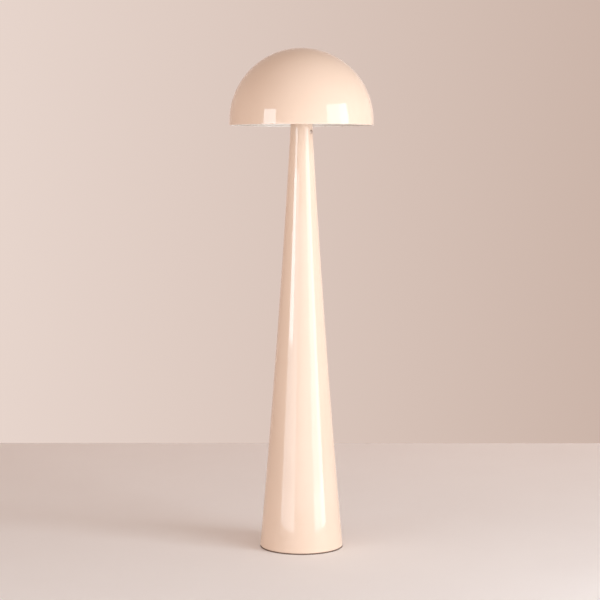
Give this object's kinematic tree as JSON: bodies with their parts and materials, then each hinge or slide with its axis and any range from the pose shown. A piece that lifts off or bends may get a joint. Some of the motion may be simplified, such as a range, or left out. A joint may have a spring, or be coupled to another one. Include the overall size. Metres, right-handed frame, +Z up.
{
  "type": "mushroom floor lamp",
  "caption": "Floor lamp with a half-round gloss enamelled metal shade on a tall flared metal column, with a push button on the neck and a weighted foot.",
  "frame": {"origin": "on the floor, under the middle of the column's foot", "axes": "+Z up the column's axis, -Y the front seen in the picture, +X to the right of that view"},
  "size_m": [0.43, 0.43, 1.5],
  "materials": {
    "shade_enamel": "high-gloss peach cream stoving enamel outside, gloss white inside",
    "column_enamel": "high-gloss peach cream stoving enamel",
    "pad_foam": "dark brown closed-cell foam rubber",
    "zinc_steel": "bright zinc plated steel",
    "ballast_iron": "black painted cast iron",
    "turned_aluminium": "turned, plain",
    "switch_nickel": "satin nickel plated brass",
    "contact_brass": "bright brass",
    "black_plastic": "moulded black polyamide",
    "white_plastic": "moulded white polyester",
    "lead_sheath": "white PVC sheath",
    "live_core": "brown PVC",
    "neutral_core": "blue PVC",
    "gasket_silicone": "translucent silicone",
    "bulb_opal": "satin opal polycarbonate",
    "bulb_white": "moulded white, slight gloss",
    "bulb_cap_metal": "nickel plated brass",
    "insulator_glass": "black vitrite glass"
  },
  "bodies": {
    "stand": {"column_shell": "column_enamel", "foot_pad": "pad_foam", "base_ring": "zinc_steel", "base_plate": "zinc_steel", "base_screws": "zinc_steel", "ballast": "ballast_iron", "ballast_screws": "zinc_steel", "cable_gland": "black_plastic", "gland_nut": "black_plastic", "terminal_block": "white_plastic", "terminal_screws": "zinc_steel", "block_screws": "zinc_steel", "riser_lead": "lead_sheath", "live_wire": "live_core", "switched_wire": "live_core", "neutral_wire": "neutral_core", "neck_bush": "zinc_steel", "shade_seat": "turned_aluminium", "seat_screws": "zinc_steel", "seat_gasket": "gasket_silicone", "threaded_tube": "zinc_steel", "tube_washers": "zinc_steel", "tube_nuts": "zinc_steel", "lampholder_cap": "white_plastic", "lampholder_skirt": "white_plastic", "contact_block": "white_plastic", "contact_shell": "contact_brass", "contact_tongue": "contact_brass", "switch_body": "switch_nickel", "switch_nut": "switch_nickel", "switch_tags": "contact_brass"},
    "shade": {"shade_shell": "shade_enamel", "spider_hub": "zinc_steel", "spider_arms": "zinc_steel", "shade_studs": "zinc_steel", "stud_washers": "zinc_steel", "stud_nuts": "zinc_steel"},
    "bulb": {"bulb_tip": "contact_brass", "bulb_insulator": "insulator_glass", "bulb_cap": "bulb_cap_metal", "bulb_body": "bulb_white", "bulb_globe": "bulb_opal"},
    "button": {"switch_button": "switch_nickel"}
  },
  "joints": [
    {"name": "shade_lift", "type": "slide", "parent": "stand", "child": "shade", "axis": [0, 0, 1], "range_m": [0, 0.19]},
    {"name": "bulb_lift", "type": "slide", "parent": "stand", "child": "bulb", "axis": [0, 0, 1], "range_m": [0, 0.03]},
    {"name": "button_press", "type": "slide", "parent": "stand", "child": "button", "axis": [-0.848, 0.5299, 0], "range_m": [0, 0.0015], "stiffness_N_per_m": 500, "springref_m": -0.002}
  ]
}
